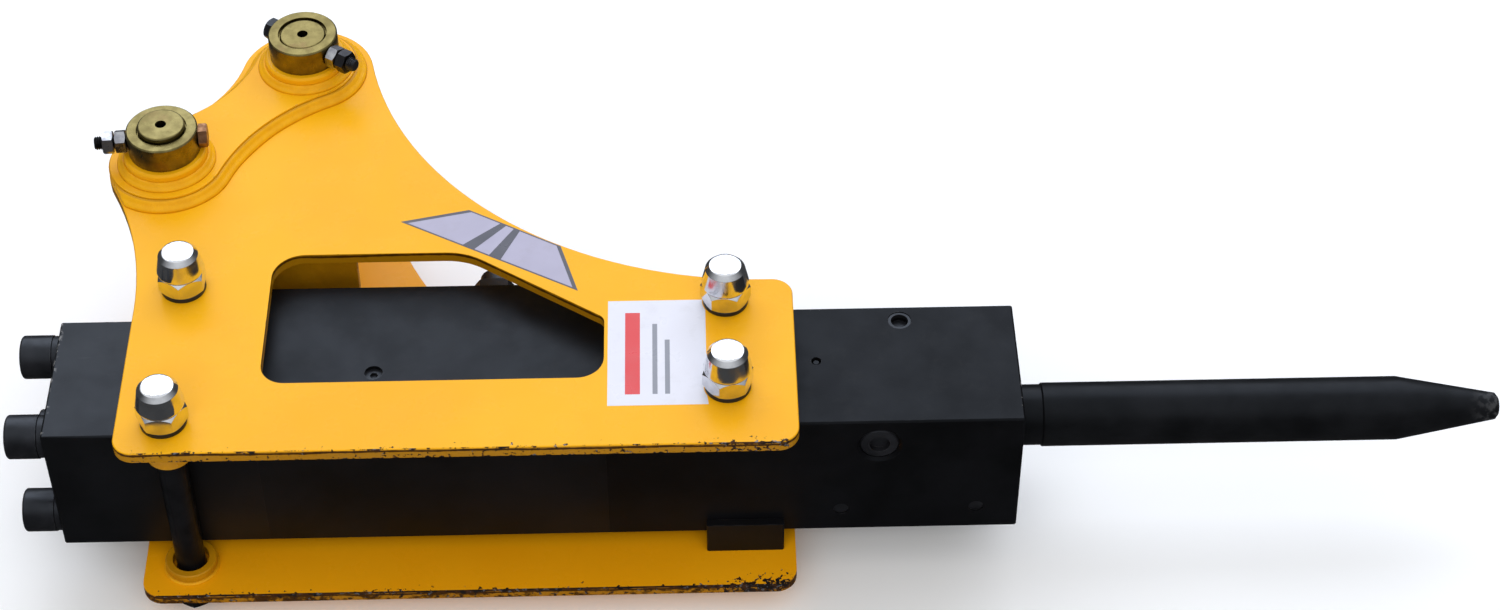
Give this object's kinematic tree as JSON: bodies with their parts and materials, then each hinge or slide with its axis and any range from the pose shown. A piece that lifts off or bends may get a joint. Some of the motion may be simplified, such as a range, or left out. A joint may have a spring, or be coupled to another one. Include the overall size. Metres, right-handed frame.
{
  "type": "hydraulic breaker hammer",
  "caption": "Side-type hydraulic breaker: square hammer body clamped between two windowed side plates with carrier pins, moil-point tool in front.",
  "frame": {"origin": "axis of the arm pin at the middle plane between the two side plates", "axes": "+Z along the carrier pins towards the pin collars, +X along the tool towards its tip, +Y away from the hammer body"},
  "size_m": [1.2217, 0.5099, 0.2573],
  "materials": {
    "yellow_paint": "gloss enamel over shot-blasted plate, chipped at the edges",
    "bush_bronze": "turned",
    "black_paint": "semi-gloss enamel",
    "black_oxide": "black oxide, lightly oiled",
    "chrome_plate": "bright plating",
    "zinc_plate": "white zinc plate",
    "copper_zinc": "brown passivated zinc",
    "yellow_zinc": "yellow passivated zinc",
    "tool_steel": "heat treated and oiled",
    "ground_steel": "ground",
    "seal_rubber": "moulded"
  },
  "bodies": {
    "hammer": {"side_plate_upper": "yellow_paint", "side_plate_lower": "yellow_paint", "doubler_upper": "yellow_paint", "doubler_lower": "yellow_paint", "pin_boss_rings": "yellow_paint", "cross_rib": "yellow_paint", "rear_bolt_rings": "yellow_paint", "pin_bushes": "bush_bronze", "thrust_bush": "bush_bronze", "front_bush": "bush_bronze", "back_head": "black_paint", "cylinder": "black_paint", "front_head": "black_paint", "front_saddle_upper": "black_paint", "front_saddle_lower": "black_paint", "rear_pads": "black_paint", "valve_cover": "black_paint", "grease_nipple": "black_paint", "side_bolts": "black_oxide", "side_bolt_washers": "black_oxide", "tie_bolts": "black_oxide", "tie_bolt_washers": "black_oxide", "valve_cover_screws": "black_oxide", "port_adapters": "black_oxide", "flushing_plug": "black_oxide", "tool_retaining_pin": "black_oxide", "bush_lock_pins": "black_oxide", "stop_pin": "black_oxide", "stop_pin_ring": "black_oxide", "dome_nuts": "chrome_plate", "gas_charging_valve": "zinc_plate", "valve_sleeve": "ground_steel", "seal_retainer": "ground_steel", "gas_seals": "seal_rubber", "retainer_o_ring": "seal_rubber", "oil_seals": "seal_rubber", "piston_dust_seal": "seal_rubber", "tool_dust_seal": "seal_rubber", "port_seals": "seal_rubber"},
    "tool": {"chisel": "tool_steel"},
    "piston_body": {"piston": "ground_steel"},
    "spool_body": {"valve_spool": "ground_steel"},
    "arm_pin_body": {"arm_pin": "yellow_zinc", "arm_pin_collar": "yellow_zinc", "arm_lock_bolt": "black_oxide", "arm_lock_nuts": "zinc_plate"},
    "link_pin_body": {"link_pin": "yellow_zinc", "link_pin_collar": "yellow_zinc", "link_lock_bolt": "copper_zinc", "link_lock_nuts": "zinc_plate"}
  },
  "joints": [
    {"name": "tool_slide", "type": "slide", "parent": "hammer", "child": "tool", "axis": [1, 0, 0], "range_m": [-0.018, 0.015]},
    {"name": "piston_slide", "type": "slide", "parent": "hammer", "child": "piston_body", "axis": [1, 0, 0], "range_m": [-0.065, 0]},
    {"name": "valve_spool_slide", "type": "slide", "parent": "hammer", "child": "spool_body", "axis": [1, 0, 0], "range_m": [-0.006, 0.006]},
    {"name": "arm_pin_spin", "type": "hinge", "parent": "hammer", "child": "arm_pin_body", "pos_m": [0, 0, 0], "axis": [0, 0, 1], "continuous": true},
    {"name": "link_pin_spin", "type": "hinge", "parent": "hammer", "child": "link_pin_body", "pos_m": [-0.1095, -0.122, 0], "axis": [0, 0, 1], "continuous": true}
  ]
}
